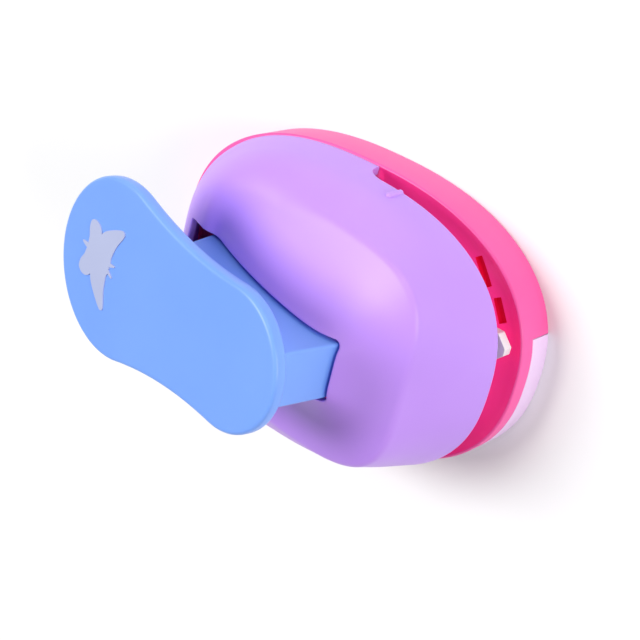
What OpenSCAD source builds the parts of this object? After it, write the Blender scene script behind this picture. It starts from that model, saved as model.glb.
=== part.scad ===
// Lever craft punch: an oval hand punch that cuts a small butterfly out of card.
// The lever hinges at the front, over the paper mouth, and its broad rear lobe is
// pressed down. +Z is the punching direction reversed, +X points out of the mouth,
// and the origin is on the resting face under the middle of the body.

/* [Body] */
// Length of the body
body_l = 76; // [74:1:78]
// Width of the body
body_w = 51; // [50:1:53]
// Height of the base's outer wall
base_h = 8.5; // [8.3:0.1:8.6]
// Height of the paper mouth between base and upper shell
mouth_h = 5; // [4.5:0.5:5]
// Where the paper mouth starts, measured from the middle
mouth_x = 1.5; // [0:0.5:3]
// Wall thickness of the base and the tray
wall = 2; // [1.8:0.1:2.2]
// Wall thickness of the upper shell
shell_t = 1.6; // [1.5:0.1:1.7]
// Radius that rounds the rear corner of the mouth
mouth_r = 4.5; // [3:0.5:4.5]

/* [Lever] */
// Slope of the paddle at rest, front up
lever_tilt = 9.9; // [9.5:0.1:10.2]
// Height of the paddle's top above the origin, square to the paddle
paddle_h = 44.8; // [44.3:0.5:45.8]
// Thickness of the paddle
paddle_t = 2.5; // [2:0.5:3]
// Radius of the broad rear lobe
rear_lobe_r = 16; // [15:0.5:17]
// Radius of the narrow front lobe
front_lobe_r = 12.4; // [11.4:0.5:12.9]
// Radius of the hollow flanks that join the lobes
flank_r = 75; // [60:5:90]
// Width of the stem that passes through the upper shell
stem_w = 10; // [9:0.5:10]
// Radius of the lever pin
pin_r = 1.5; // [1.4:0.1:1.6]

/* [Punch] */
// Distance of the punched figure from the middle of the body
punch_x = 10; // [9:0.5:11]
// Span of the punched butterfly across its wings
figure_w = 14.4; // [12:0.2:14.6]
// Gap that card slides into between die and guide plate
paper_gap = 1.5; // [1.3:0.1:1.5]
// Number of turns of the return spring
spring_turns = 3; // [2:1:3]

/* [Chip tray] */
// Height of the tray's outer wall
tray_h = 5.2; // [5:0.1:5.2]
// Where the tray's outer wall starts at the front, left of the middle
tray_front_y = 8; // [6:1:9]

/* [Hidden] */

$fn = 64;
gap = 0.3;
oval_steps = 72;

// Heights of the parts stacked over one another
tray_floor_t = 1;
deck_z = 5.2;
deck_t = 1.5;
deck_top = deck_z + deck_t;
die_t = 2.1;
die_top = deck_top + die_t;
guide_z = die_top + paper_gap;
guide_t = 2;
guide_top = guide_z + guide_t;
seat_t = 0.3;
spring_z = guide_top + seat_t;
cap_z = 19.2;
cap_t = 2;
thrust_t = 0.8;
thrust_top = cap_z + cap_t + thrust_t;
mouth_top = base_h + mouth_h;
shell_z = base_h + 0.1;

// Outlines of the body
oval_n = 2.35;
half_l = body_l / 2;
half_w = body_w / 2;
rim_n = 2.45;
rim_front = half_l - 1.8;
rim_half_w = half_w - 0.3;
rim_rear_top = rim_front - 2;
shoulder_z = 20;
shoulder_front = half_l - 5;
shoulder_rear = half_l - 9.5;
shoulder_half_w = half_w - 0.7;
crease_z = 25.2;
crease_slope = 0.1;
crease_front = half_l - 9.2;
crease_rear = half_l - 16.4;
crease_half_w = half_w - 5.6;
crease_n = 4;

// Top of the upper shell: a narrow oval that climbs along a curve towards the front
ridge_half_l = 16.75;
ridge_mid = 0.25;
ridge_half_w = 5;
ridge_n = 6;
ridge_low = 23.8;
ridge_rise = 18.6;
ridge_bow = 6.1;
// Shares of the wall thickness by which the hollow's crease and ridge lie lower and further in
crease_drop = 0.75;
crease_in = 0.65;
ridge_drop = 1.1;
ridge_in = 0.35;

// Raised tick on the left of the upper shell, level with the middle of the punched figure
tick_y = half_w - 1;
tick_r = 0.6;
tick_l = 4;

// Slot for the lever
slot_half_w = stem_w / 2 + 0.6;
slot_rear = -27;
slot_front = 18.9;

// Lever side view, in the body's frame. The pivot is inside the front of the shell.
pivot = [28, 17.5];
boss_r = 3.2;
rear_lobe_x = -16.9;
front_lobe_x = 14.7;
stem_front = 23.9;
stem_rear_top = -11.2;
// Where the stem's front face ends, square to the paddle, and its rear lower corner
stem_front_low = 28.3;
stem_rear_low = [-17, 24.3];
// Arm inside the shell: its front knee, and its underside from the pivot to the rear
arm_knee = [24.2, 26.2];
arm_under = [[22.2, 18], [22, 23.6], [punch_x, 24.2], [-1, 24.4], [-20.3, 20.2]];
nose_r = 3;
nose_z = thrust_top + 0.2 + nose_r;
lever_bore_r = pin_r + 0.05;
mark_t = 0.2;
mark_at = [-21.2, 0.4];
mark_turn = -9.6;

// Steel frame
frame_half_w = 15;
frame_rear = -13;
frame_front = 31;
plate_front = 24.4;
ear_r = 2.8;
ear_in = 5.6;
ear_t = 1.6;
finger_x = 36;
finger_in = 4.2;
finger_out = 9.4;
finger_bevel = 2;
ear_bore_r = pin_r + 0.02;
rivet_x = -9;
rivet_y = 8;
rivet_r = 1.5;

// Screws
die_screw_x = [-3, 20];
die_screw_y = 12.3;
die_screw_r = 1.25;
// Each housing post as [x, y, height above the deck]
housing_posts = [[-25, 10, 11.2], [-25, -10, 11.2], [-6, 18.6, 15.2], [-6, -18.6, 15.2]];
housing_screw_r = 1.3;
post_r = 2.9;
head_r = 2.4;
head_t = 1.3;

// Spring and punch
spring_r = 9;
wire_r = 0.4;
wire_sides = 8;
wire_steps = 16;
cap_r = 10;
hub_r = 7.9;
hub_z = 17;
punch_z = guide_z + gap;
slide_fit = 0.06;
// Punched butterfly at the span below: each pair of wings as [x, y, radius], then its body
figure_span = 14.4;
figure_wings = [[-1.9, 3.7, 3.5], [2.7, 2.9, 2.6]];
figure_waist_r = 2.2;
figure_body = [10, 1.8];

// Hollow, openings and screw clearances of the base
seat_inset = 2.6;
chip_hole = [18, 19];
chip_hole_rear = punch_x - 9;
housing_hole_r = housing_screw_r + gap;
die_hole_r = die_screw_r + 0.2;
pocket_w = 1.6;
pocket_floor = 0.4;
// Each pair of pockets in the front edge of the deck as [x, distance from the middle, length, turn]
pockets = [[25.3, 15.6, 5.4, -53], [30.3, 10.7, 4.4, -57]];

// Tray runners: T-shaped bars on the tray that hang in rails under the deck
runner_x = [-17, 27];
runner_l = 24;
runner_web = 1.2;
runner_web_top = 4;
runner_head = 4.4;
runner_head_z = 3.4;
runner_head_t = 0.9;
rail_x = 3.2;
rail_t = 1.2;
rail_z = 2.2;
rail_foot = 2.4;
rail_foot_x = 2.2;

// Tray details
tray_fit = 0.15;
wall_fit = 0.1;
lip_h = 3;
lip_t = 1.2;
lip_gap = 8.6;
notch_x = 4;
notch_r = 1.1;
notch_l = 14;

// Point at angle a on an oval with its own front and rear half lengths
function power_cos(a, n) = sign(cos(a)) * pow(abs(cos(a)), 2 / n);
function power_sin(a, n) = sign(sin(a)) * pow(abs(sin(a)), 2 / n);
function oval(front, rear, side, n) = [
    for (i = [0:oval_steps - 1])
        let (a = i * 360 / oval_steps, c = power_cos(a, n))
            [c * (c > 0 ? front : rear), side * power_sin(a, n)]
];

// From the lever's own frame (along the paddle, square to it) to the body's side view
function tilted(a, h) = [
    a * cos(lever_tilt) - h * sin(lever_tilt),
    a * sin(lever_tilt) + h * cos(lever_tilt)
];
function on_boss(angle) = pivot + boss_r * [cos(angle), sin(angle)];

module body_outline(inset = 0) {
    polygon(oval(half_l - inset, half_l - inset, half_w - inset, oval_n));
}

// Height of the upper shell's top at x
function ridge_z(x) =
    let (t = (x - ridge_mid + ridge_half_l) / (2 * ridge_half_l))
        ridge_low + ridge_rise * t - ridge_bow * t * t;

// Rings of the upper shell's skin from the rim up, shrunk by inset for its hollow
function ring(z, slope, outline) = [for (p = outline) [p[0], p[1], z + slope * p[0]]];
function dome_rings(inset) = [
    ring(shell_z, 0, oval(rim_front - inset, rim_front - inset, rim_half_w - inset, rim_n)),
    ring(mouth_top, 0, oval(rim_front - inset, rim_rear_top - inset, rim_half_w - inset, rim_n)),
    ring(shoulder_z - inset / 2, 0,
         oval(shoulder_front - inset, shoulder_rear - inset, shoulder_half_w - inset, rim_n)),
    ring(crease_z - inset * crease_drop, crease_slope,
         oval(crease_front - inset * crease_in, crease_rear - inset * crease_in,
              crease_half_w - inset / 2, crease_n)),
    [
        for (p = oval(ridge_half_l - inset * ridge_in, ridge_half_l - inset * ridge_in,
                      ridge_half_w, ridge_n))
            let (x = p[0] + ridge_mid)
                [x, p[1], ridge_z(x) - inset * ridge_drop]
    ]
];

// Upper shell without its openings: an outer and an inner skin, joined along the rim
module dome_skin() {
    outer = dome_rings(0);
    inner = dome_rings(shell_t);
    m = oval_steps;
    top = (len(outer) - 1) * m;
    half = len(outer) * m;
    sides = [
        for (r = [0:len(outer) - 2], i = [0:m - 1])
            let (j = (i + 1) % m, a = r * m, b = a + m)
                each [[a + i, b + i, b + j], [a + i, b + j, a + j]]
    ];
    cap = [
        for (i = [0:m / 2 - 1])
            let (k = m - i - 1, edge = [i, (k + 1) % m, k, i + 1])
                [for (e = [0:3]) if (e == 0 || edge[e] != edge[e - 1]) top + edge[e]]
    ];
    skin = concat(sides, [for (f = cap) if (f[0] != f[len(f) - 1]) f]);
    hollow = [for (f = skin) [for (e = [len(f) - 1:-1:0]) f[e] + half]];
    rim = [
        for (i = [0:m - 1])
            let (j = (i + 1) % m)
                [i, j, half + j, half + i]
    ];
    polyhedron([for (r = concat(outer, inner)) each r], concat(skin, hollow, rim));
}

// Everything below the upper edge of the mouth, from its rounded rear corner forward
module mouth_cut() {
    reach = body_w + 2;
    translate([mouth_x, -reach / 2, 0])
        cube([body_l, reach, mouth_top - mouth_r]);
    translate([mouth_x + mouth_r, -reach / 2, 0])
        cube([body_l, reach, mouth_top]);
    translate([mouth_x + mouth_r, 0, mouth_top - mouth_r])
        rotate([90, 0, 0])
            cylinder(r = mouth_r, h = reach, center = true);
}

module upper_shell() {
    color("mediumpurple")
    difference() {
        union() {
            dome_skin();
            for (p = housing_posts)
                translate([p[0], p[1], deck_top + 0.05])
                    cylinder(r = post_r, h = p[2]);
            translate([punch_x, tick_y, mouth_top])
                cylinder(r = tick_r, h = tick_l);
        }
        mouth_cut();
        translate([slot_rear, -slot_half_w, shell_z + 3])
            cube([slot_front - slot_rear, 2 * slot_half_w, paddle_h]);
        for (p = housing_posts)
            translate([p[0], p[1], 0])
                cylinder(r = housing_screw_r + 0.03, h = deck_top + 6);
    }
}

// Side of the body where the tray carries the outer wall
module tray_side(clearance) {
    translate([-half_l - 1, -half_w - 1, -1])
        cube([half_l + 1, half_w + 0.5 + clearance, tray_h + 1 + clearance]);
    translate([0, -half_w - 1, -1])
        cube([half_l + 1, half_w + 1 + tray_front_y + clearance, tray_h + 1 + clearance]);
}

module runner_rails() {
    for (x = runner_x, s = [-1, 1]) {
        translate([x + s * rail_x - rail_t / 2, -runner_l / 2, rail_z])
            cube([rail_t, runner_l, deck_z - rail_z + 0.1]);
        translate([x + s * rail_foot_x - rail_foot / 2, -runner_l / 2, rail_z])
            cube([rail_foot, runner_l, runner_head_t]);
    }
}

module base_shell() {
    color("hotpink")
    difference() {
        union() {
            difference() {
                linear_extrude(base_h)
                    body_outline();
                translate([0, 0, deck_top])
                    linear_extrude(base_h)
                        body_outline(seat_inset);
                translate([0, 0, -1])
                    linear_extrude(deck_z + 1)
                        body_outline(wall);
            }
            runner_rails();
        }
        difference() {
            tray_side(tray_fit);
            translate([0, 0, -1])
                linear_extrude(base_h)
                    body_outline(wall + gap);
        }
        translate([chip_hole_rear, -chip_hole[1] / 2, deck_z - 1])
            cube([chip_hole[0], chip_hole[1], deck_t + 2]);
        for (p = housing_posts)
            translate([p[0], p[1], 0])
                cylinder(r = housing_hole_r, h = base_h);
        for (x = die_screw_x, y = [-die_screw_y, die_screw_y])
            translate([x, y, 0])
                cylinder(r = die_hole_r, h = base_h);
        for (s = [-1, 1], p = pockets)
            translate([p[0], s * p[1], deck_z + pocket_floor])
                rotate(s * p[3])
                    translate([-p[2] / 2, -pocket_w / 2, 0])
                        cube([p[2], pocket_w, deck_t]);
    }
}

module chip_tray() {
    color("thistle")
    difference() {
        union() {
            linear_extrude(tray_floor_t)
                body_outline(wall + gap);
            intersection() {
                linear_extrude(tray_h)
                    difference() {
                        body_outline();
                        body_outline(wall + wall_fit);
                    }
                tray_side(0);
            }
            // Floor edge under the outer wall
            intersection() {
                linear_extrude(tray_floor_t)
                    body_outline();
                tray_side(0);
            }
            // Low lip on the closed side, which keeps the chips in
            difference() {
                linear_extrude(lip_h)
                    difference() {
                        body_outline(wall + gap);
                        body_outline(wall + gap + lip_t);
                    }
                translate([0, 0, -0.1])
                    tray_side(0);
                for (x = runner_x)
                    translate([x - lip_gap / 2, 0, tray_floor_t])
                        cube([lip_gap, half_w, lip_h]);
            }
            for (x = runner_x) {
                translate([x - runner_web / 2, -runner_l / 2, 0])
                    cube([runner_web, runner_l, runner_web_top]);
                translate([x - runner_head / 2, -runner_l / 2, runner_head_z])
                    cube([runner_head, runner_l, runner_head_t]);
            }
        }
        // Finger notch under the outer wall
        translate([notch_x, -half_w, 0])
            rotate([0, 90, 0])
                cylinder(r = notch_r, h = notch_l, center = true);
    }
}

// Paddle outline: two lobes joined by hollow flanks
module paddle_outline() {
    span = front_lobe_x - rear_lobe_x;
    rear_d = rear_lobe_r + flank_r;
    front_d = front_lobe_r + flank_r;
    flank_x = (span * span + rear_d * rear_d - front_d * front_d) / (2 * span);
    flank_y = sqrt(rear_d * rear_d - flank_x * flank_x);
    translate([rear_lobe_x, 0])
        circle(r = rear_lobe_r);
    translate([front_lobe_x, 0])
        circle(r = front_lobe_r);
    translate([rear_lobe_x, 0])
        difference() {
            polygon([[0, 0], [flank_x, flank_y], [span, 0], [flank_x, -flank_y]]);
            translate([flank_x, flank_y])
                circle(r = flank_r, $fn = 256);
            translate([flank_x, -flank_y])
                circle(r = flank_r, $fn = 256);
        }
}

module lever() {
    underside = paddle_h - paddle_t;
    front_top = tilted(stem_front, underside + 1);
    front_low = tilted(stem_front, stem_front_low);
    rear_top = tilted(stem_rear_top, underside + 1);
    rear_low = tilted(stem_rear_low[0], stem_rear_low[1]);
    color("cornflowerblue")
    difference() {
        union() {
            rotate([0, -lever_tilt, 0])
                translate([0, 0, underside])
                    linear_extrude(paddle_t)
                        paddle_outline();
            rotate([90, 0, 0])
                linear_extrude(stem_w, center = true)
                    polygon(concat(
                        [front_top, front_low, arm_knee, on_boss(50), pivot, on_boss(215)],
                        arm_under,
                        [rear_low, rear_top]
                    ));
            translate([pivot[0], 0, pivot[1]])
                rotate([90, 0, 0])
                    cylinder(r = boss_r, h = stem_w, center = true);
            translate([punch_x, 0, nose_z])
                rotate([90, 0, 0])
                    cylinder(r = nose_r, h = stem_w - 2, center = true);
        }
        translate([pivot[0], 0, pivot[1]])
            rotate([90, 0, 0])
                cylinder(r = lever_bore_r, h = stem_w + 2, center = true);
    }
}

// One side of the printed butterfly, wings spread along Y and head towards +X
module mark_half() {
    polygon([
        [3.4, 0], [3.2, 0.5], [4.6, 1], [3, 1.3], [3.2, 3.6], [4.8, 7.4], [4.2, 8.2], [2, 7],
        [-1, 4.7], [-2.6, 5.6], [-4.8, 5], [-4.6, 3], [-3.4, 1.4], [-5.6, 0.5], [-5.6, 0]
    ]);
}

module lever_mark() {
    color("lightsteelblue")
    rotate([0, -lever_tilt, 0])
        translate([mark_at[0], mark_at[1], paddle_h])
            rotate(mark_turn)
                linear_extrude(mark_t) {
                    mark_half();
                    mirror([0, 1])
                        mark_half();
                }
}

module across_pivot(y, h) {
    translate([pivot[0], y, pivot[1]])
        rotate([-90, 0, 0])
            cylinder(r = h[0], h = h[1]);
}

module lever_pin() {
    pin_l = 2 * (ear_in + ear_t + 1.3);
    color("silver")
    difference() {
        across_pivot(-pin_l / 2, [pin_r, pin_l]);
        for (s = [-1, 1])
            translate([pivot[0], s * (ear_in + ear_t + 0.4), pivot[1]])
                rotate([90, 0, 0])
                    difference() {
                        cylinder(r = pin_r + 1, h = 0.6, center = true);
                        cylinder(r = pin_r - 0.4, h = 1, center = true);
                    }
    }
}

// Open retaining clip in the groove at one end of the pin
module pin_clip(side) {
    color("dimgray")
    translate([pivot[0], side * (ear_in + ear_t + 0.4), pivot[1]])
        rotate([90, 0, 0])
            difference() {
                cylinder(r = 2.7, h = 0.5, center = true);
                cylinder(r = pin_r - 0.38, h = 1, center = true);
                translate([-0.8, 0, -1])
                    cube([1.6, 4, 2]);
            }
}

module pin_clip_left() {
    pin_clip(1);
}

module pin_clip_right() {
    pin_clip(-1);
}

module pivot_washers() {
    color("gainsboro")
    for (y = [stem_w / 2 + 0.1, -ear_in + 0.05])
        difference() {
            across_pivot(y, [3, 0.4]);
            across_pivot(y - 1, [lever_bore_r, 3]);
        }
}

// Butterfly section of the punch; grow widens it for the holes that it passes through
module figure(grow = 0) {
    unit = figure_w / figure_span;
    for (wing = figure_wings, s = [-1, 1])
        translate([wing[0], s * wing[1]] * unit)
            circle(r = wing[2] * unit + grow);
    circle(r = figure_waist_r * unit + grow);
    square(figure_body * unit + [2, 2] * grow, center = true);
}

module die_plate() {
    color("lightgray")
    difference() {
        translate([frame_rear, -frame_half_w, deck_top])
            cube([plate_front - frame_rear, 2 * frame_half_w, die_t]);
        translate([punch_x, 0, deck_top - 1])
            linear_extrude(die_t + 2)
                figure(slide_fit);
        for (s = [-1, 1])
            translate([rivet_x, s * rivet_y, deck_top - 1])
                cylinder(r = rivet_r + 0.02, h = die_t + 2);
        for (x = die_screw_x, y = [-die_screw_y, die_screw_y])
            translate([x, y, deck_top - 1])
                cylinder(r = die_screw_r + 0.02, h = die_t + 2);
    }
}

module throat_spacer() {
    color("darkgray")
    difference() {
        translate([frame_rear, -frame_half_w, die_top])
            cube([7, 2 * frame_half_w, paper_gap]);
        for (s = [-1, 1])
            translate([rivet_x, s * rivet_y, die_top - 1])
                cylinder(r = rivet_r + 0.02, h = paper_gap + 2);
    }
}

module guide_frame() {
    finger_y = (finger_in + finger_out) / 2;
    finger_hw = (finger_out - finger_in) / 2;
    color("silver")
    difference() {
        union() {
            translate([frame_rear, -frame_half_w, guide_z])
                cube([plate_front - frame_rear, 2 * frame_half_w, guide_t]);
            translate([plate_front - 4, -finger_out, guide_z])
                cube([frame_front - plate_front + 4, 2 * finger_out, guide_t]);
            // Front tab that stops the card square
            translate([0, finger_y, guide_z])
                linear_extrude(guide_t)
                    polygon([
                        [frame_front - 3, -finger_hw], [finger_x - finger_bevel, -finger_hw],
                        [finger_x, finger_bevel - finger_hw], [finger_x, finger_hw - finger_bevel],
                        [finger_x - finger_bevel, finger_hw], [frame_front - 3, finger_hw]
                    ]);
            for (s = [-1, 1])
                // Upturned ear that carries the lever pin
                translate([0, s * (ear_in + ear_t / 2), 0]) {
                    translate([pivot[0] - ear_r, -ear_t / 2, guide_z + 0.5])
                        cube([2 * ear_r, ear_t, pivot[1] - guide_z - 0.5]);
                    translate([pivot[0], 0, pivot[1]])
                        rotate([90, 0, 0])
                            cylinder(r = ear_r, h = ear_t, center = true);
                }
        }
        across_pivot(-ear_in - ear_t - 1, [ear_bore_r, 2 * (ear_in + ear_t + 1)]);
        translate([punch_x, 0, guide_z - 1])
            linear_extrude(guide_t + 2)
                figure(slide_fit);
        for (s = [-1, 1])
            translate([rivet_x, s * rivet_y, guide_z - 1])
                cylinder(r = rivet_r + 0.02, h = guide_t + 2);
    }
}

module frame_rivets() {
    color("darkgray")
    for (s = [-1, 1])
        translate([rivet_x, s * rivet_y, 0]) {
            translate([0, 0, deck_top])
                cylinder(r = rivet_r, h = guide_top - deck_top);
            translate([0, 0, guide_top])
                cylinder(r1 = rivet_r + 0.9, r2 = rivet_r + 0.3, h = 0.8);
        }
}

// Pan-head screw pointing up from its head at z
module screw_up(r, z, length) {
    translate([0, 0, z])
        cylinder(r = r, h = length);
    difference() {
        translate([0, 0, z - head_t])
            cylinder(r = head_r, h = head_t);
        for (turn = [0, 90])
            translate([0, 0, z - head_t])
                rotate(turn)
                    cube([2.8, 0.6, 1.2], center = true);
    }
}

module die_screws() {
    color("darkgray")
    for (x = die_screw_x, y = [-die_screw_y, die_screw_y])
        translate([x, y, 0])
            screw_up(die_screw_r, deck_z, deck_t + die_t - 0.1);
}

module housing_screws() {
    color("darkgray")
    for (p = housing_posts)
        translate([p[0], p[1], 0])
            screw_up(housing_screw_r, deck_z, 7);
}

module spring_seat() {
    color("gainsboro")
    translate([punch_x, 0, guide_top])
        difference() {
            cylinder(r = cap_r - 0.2, h = seat_t);
            translate([0, 0, -1])
                cylinder(r = hub_r + 0.3, h = 2);
        }
}

// Coil swept as one closed skin; its ends are closed by the first and last ring
function coil_point(i, j, rise) =
    let (
        turn = i * 360 / wire_steps,
        around = j * 360 / wire_sides,
        r = spring_r + wire_r * cos(around)
    )
    [r * cos(turn), r * sin(turn), wire_r * sin(around) + rise * i];

module return_spring() {
    rings = spring_turns * wire_steps;
    rise = (cap_z - spring_z - 2 * wire_r - 0.1) / rings;
    points = [for (i = [0:rings], j = [0:wire_sides - 1]) coil_point(i, j, rise)];
    sides = [
        for (i = [0:rings - 1], j = [0:wire_sides - 1])
            let (k = (j + 1) % wire_sides, a = i * wire_sides, b = a + wire_sides)
                [a + j, b + j, b + k, a + k]
    ];
    start = [for (j = [0:wire_sides - 1]) j];
    end = [for (j = [wire_sides - 1:-1:0]) rings * wire_sides + j];
    color("silver")
    translate([punch_x, 0, spring_z + wire_r + 0.05])
        polyhedron(points, concat(sides, [start], [end]));
}

module punch_head() {
    color("lightgray")
    translate([punch_x, 0, 0])
        difference() {
            translate([0, 0, punch_z])
                linear_extrude(hub_z - punch_z)
                    figure();
            translate([0, 0, hub_z - 4])
                cylinder(r = 1.02, h = 5);
        }
}

module punch_cap() {
    color("ghostwhite")
    translate([punch_x, 0, 0])
        difference() {
            union() {
                translate([0, 0, cap_z])
                    cylinder(r = cap_r, h = cap_t);
                translate([0, 0, hub_z])
                    cylinder(r = hub_r, h = cap_z - hub_z + 1);
            }
            translate([0, 0, hub_z - 1])
                cylinder(r = 1.1, h = 6);
            translate([0, 0, cap_z + cap_t - 1.4])
                cylinder(r = 2.2, h = 2);
        }
}

module cap_screw() {
    color("darkgray")
    translate([punch_x, 0, 0]) {
        translate([0, 0, hub_z - 3.6])
            cylinder(r = 1, h = cap_z + cap_t - 1.4 - hub_z + 3.7);
        translate([0, 0, cap_z + cap_t - 1.4])
            cylinder(r = 2, h = 1.2);
    }
}

module thrust_plate() {
    color("silver")
    translate([punch_x, 0, cap_z + cap_t])
        cylinder(r = 6, h = thrust_t);
}

base_shell();
upper_shell();
chip_tray();
lever();
lever_mark();
lever_pin();
pin_clip_left();
pin_clip_right();
pivot_washers();
die_plate();
throat_spacer();
guide_frame();
frame_rivets();
die_screws();
housing_screws();
spring_seat();
return_spring();
punch_head();
punch_cap();
cap_screw();
thrust_plate();
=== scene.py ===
"""Looks of the lever craft punch: shells, lever, tray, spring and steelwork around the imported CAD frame.

Lengths below are millimetres in the CAD frame, and MM turns them into Blender's metres.
"""

import math

import bmesh
import bpy
import numpy as np
from mathutils import Matrix, Vector


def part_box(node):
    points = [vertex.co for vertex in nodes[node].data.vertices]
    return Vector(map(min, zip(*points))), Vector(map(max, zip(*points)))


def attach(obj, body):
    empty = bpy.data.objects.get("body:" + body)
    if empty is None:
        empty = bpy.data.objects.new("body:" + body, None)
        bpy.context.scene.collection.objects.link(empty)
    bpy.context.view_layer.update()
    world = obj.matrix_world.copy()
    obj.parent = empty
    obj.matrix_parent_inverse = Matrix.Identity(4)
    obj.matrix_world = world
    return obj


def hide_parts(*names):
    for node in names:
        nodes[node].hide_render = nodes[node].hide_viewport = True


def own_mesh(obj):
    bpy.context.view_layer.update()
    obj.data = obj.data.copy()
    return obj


MM = 0.001

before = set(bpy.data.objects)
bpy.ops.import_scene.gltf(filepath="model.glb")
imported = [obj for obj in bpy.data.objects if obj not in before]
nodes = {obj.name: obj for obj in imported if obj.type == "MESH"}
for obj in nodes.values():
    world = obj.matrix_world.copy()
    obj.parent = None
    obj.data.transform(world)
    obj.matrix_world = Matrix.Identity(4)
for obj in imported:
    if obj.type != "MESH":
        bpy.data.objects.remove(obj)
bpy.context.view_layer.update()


def box_mm(node):
    """Lowest and highest corner of a CAD node, in millimetres."""
    return [np.array(corner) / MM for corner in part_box(node)]


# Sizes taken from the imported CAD
base_high = box_mm("base_shell")[1]
tray_high = box_mm("chip_tray")[1]
pin_low, pin_high = box_mm("lever_pin")
HALF_L = base_high[0]
HALF_W = base_high[1]
BASE_H = base_high[2]
RIM_GAP = 0.1
RIM_Z = BASE_H + RIM_GAP
PIVOT = [(pin_low[0] + pin_high[0]) / 2, (pin_low[2] + pin_high[2]) / 2]

# Camera, as the direction it looks from, its roll about that line and the point that it is centred on
CAMERA_AZIMUTH = 39.3
CAMERA_ELEVATION = 49.3
CAMERA_ROLL = 107.8
CAMERA_AIM = (-4.0, -7.5, 6.8)
CAMERA_DISTANCE = 273.7
LENS = 84.5
SENSOR = 36
CLIP_START = 10

# Studio. Each light is given as name, azimuth, elevation, distance, size and power
WORLD_STRENGTH = 0.2
LIGHTS = (
    ("key", 160, 60, 2400, 1200, 48),
    ("front", 10, 24, 2400, 1200, 30),
    ("side", 80, 30, 2400, 1200, 11),
)
LIGHT_AIM = (0, 0, 15)
FLOOR_HALF = 3000
FLOOR_TINT = 0.94

# How far a cutter reaches past the face that it cuts
OVER = 1

# Base, with the step between its outer ridge and its deck
OVAL_POWER = 2.35
WALL = 2.0
DECK_LOW = 5.2
DECK_TOP = 6.7
FOOT_R = 0.5
BASE_EDGE_R = 0.4
STEP_FROM = 0.55
STEP_RINGS = 10
BEVEL_W = 4.4
BEVEL_SPREAD = 1.15
BEVEL_HOLLOW = 2.2
SEAT_W = 2.05
SEAT_DRAFT = 0.024
POST_HOLE_R = 1.6
DIE_SCREWS = ((-3, 12.3), (-3, -12.3), (20, 12.3), (20, -12.3))
DIE_SCREW_HOLE_R = 1.45
CHIP_HOLE = ((1, 19), (-9.5, 9.5))

# Paper mouth, and how far behind its rear corner the bevel begins and over what length it grows
MOUTH_X = 1.5
MOUTH_R = 4.5
MOUTH_TOP = 13.5
MOUTH_STEP = 0.04
MOUTH_INSIDE = 0.6
BEVEL_BEHIND = 0.5
BEVEL_BLEND = 1.2

# Pockets in the front edge of the deck, as x, distance from the middle, length and turn
POCKETS = ((25.3, 15.6, 5.4, -53), (30.3, 10.7, 4.4, -57))
POCKET_W = 1.6
POCKET_FLOOR = 0.4

# Chip tray with its runners and thumb notch, and the rails of the base that hold the runners
TRAY_H = tray_high[2]
TRAY_FRONT_Y = 8
TRAY_GAP = 0.15
TRAY_EDGE = 0.15
TRAY_FLOOR_T = 1
TRAY_WALL = WALL + 0.1
TRAY_INSET = WALL + 0.3
LIP_W = 1.2
LIP_TOP = 3
LIP_GAP = 8.6
RUNNER_X = (-17, 27)
RUNNER_L = 24
RUNNER_T = 1.2
RUNNER_HEAD_W = 4.4
RUNNER_HEAD = (3.4, 4.3)
RAIL_AT = 3.2
RAIL_T = 1.2
RAIL_LOW = 2.2
RAIL_FOOT_AT = 2.2
RAIL_FOOT_W = 2.4
RAIL_FOOT_TOP = 3.1
THUMB_X = 4
THUMB_R = 1.1
THUMB_L = 14

# Screw posts of the upper shell, as x, y and height
POSTS = ((-25, 10, 11.2), (-25, -10, 11.2), (-6, 18.6, 15.2), (-6, -18.6, 15.2))
POST_R = 2.9
POST_GAP = 0.05
POST_BORE_R = 1.33
POST_BORE_L = 6

# Upper shell. The cuts say how far the corners of the path up each skin are eased
SHELL_T = 1.6
RIM_POWER = 2.45
CREASE_POWER = 4
CREASE_SHARP = 0.8
CREASE_SOFT = 7.0
CREASE_FROM = 6
CREASE_SPAN = 24
CREASE_EASE = 1.3
PANEL_SAG = 1.0
PANEL_CUT = 9
OUTER_CUTS = (5, 4.5)
INNER_CUTS = (4, 3.5, 2)

# Its rings from the rim to the crease: how far in each is from the body's front, rear and side, then its
# power, height and slope along X, then how far in the inner skin is along X, along Y and down, in thicknesses
SKIN_RINGS = (
    ((1.8, 1.8, 0.3), RIM_POWER, RIM_Z, 0, (1, 1, 0)),
    ((1.8, 3.8, 0.3), RIM_POWER, MOUTH_TOP, 0, (1, 1, 0)),
    ((5, 9.5, 0.7), RIM_POWER, 20, 0, (1, 1, 0.5)),
    ((9.2, 16.4, 5.6), CREASE_POWER, 25.2, 0.1, (0.65, 0.5, 0.75)),
)

# Its tick, the ridge round its slot and the slot
PUNCH_X = 10
TICK_IN = 1
TICK_R = 0.6
TICK_L = 4
TICK_EDGE = 0.15
TICK_GAP = 0.02
TICK_END_TURN = 1.4
TICK_END_STEPS = 6
RIDGE_HALF_L = 16.75
RIDGE_MID = 0.25
RIDGE_HALF_W = 5
RIDGE_POWER = 6
RIDGE_LOW = 23.8
RIDGE_RISE = 18.6
RIDGE_BEND = 6.1
RIDGE_IN_X = 0.35
RIDGE_IN_Z = 1.1
SLOT_HALF_W = 5.6
SLOT_REAR = -27
SLOT_FRONT = 18.9
SLOT_FRONT_R = 1.3
SLOT_REAR_R = 0.7

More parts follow.
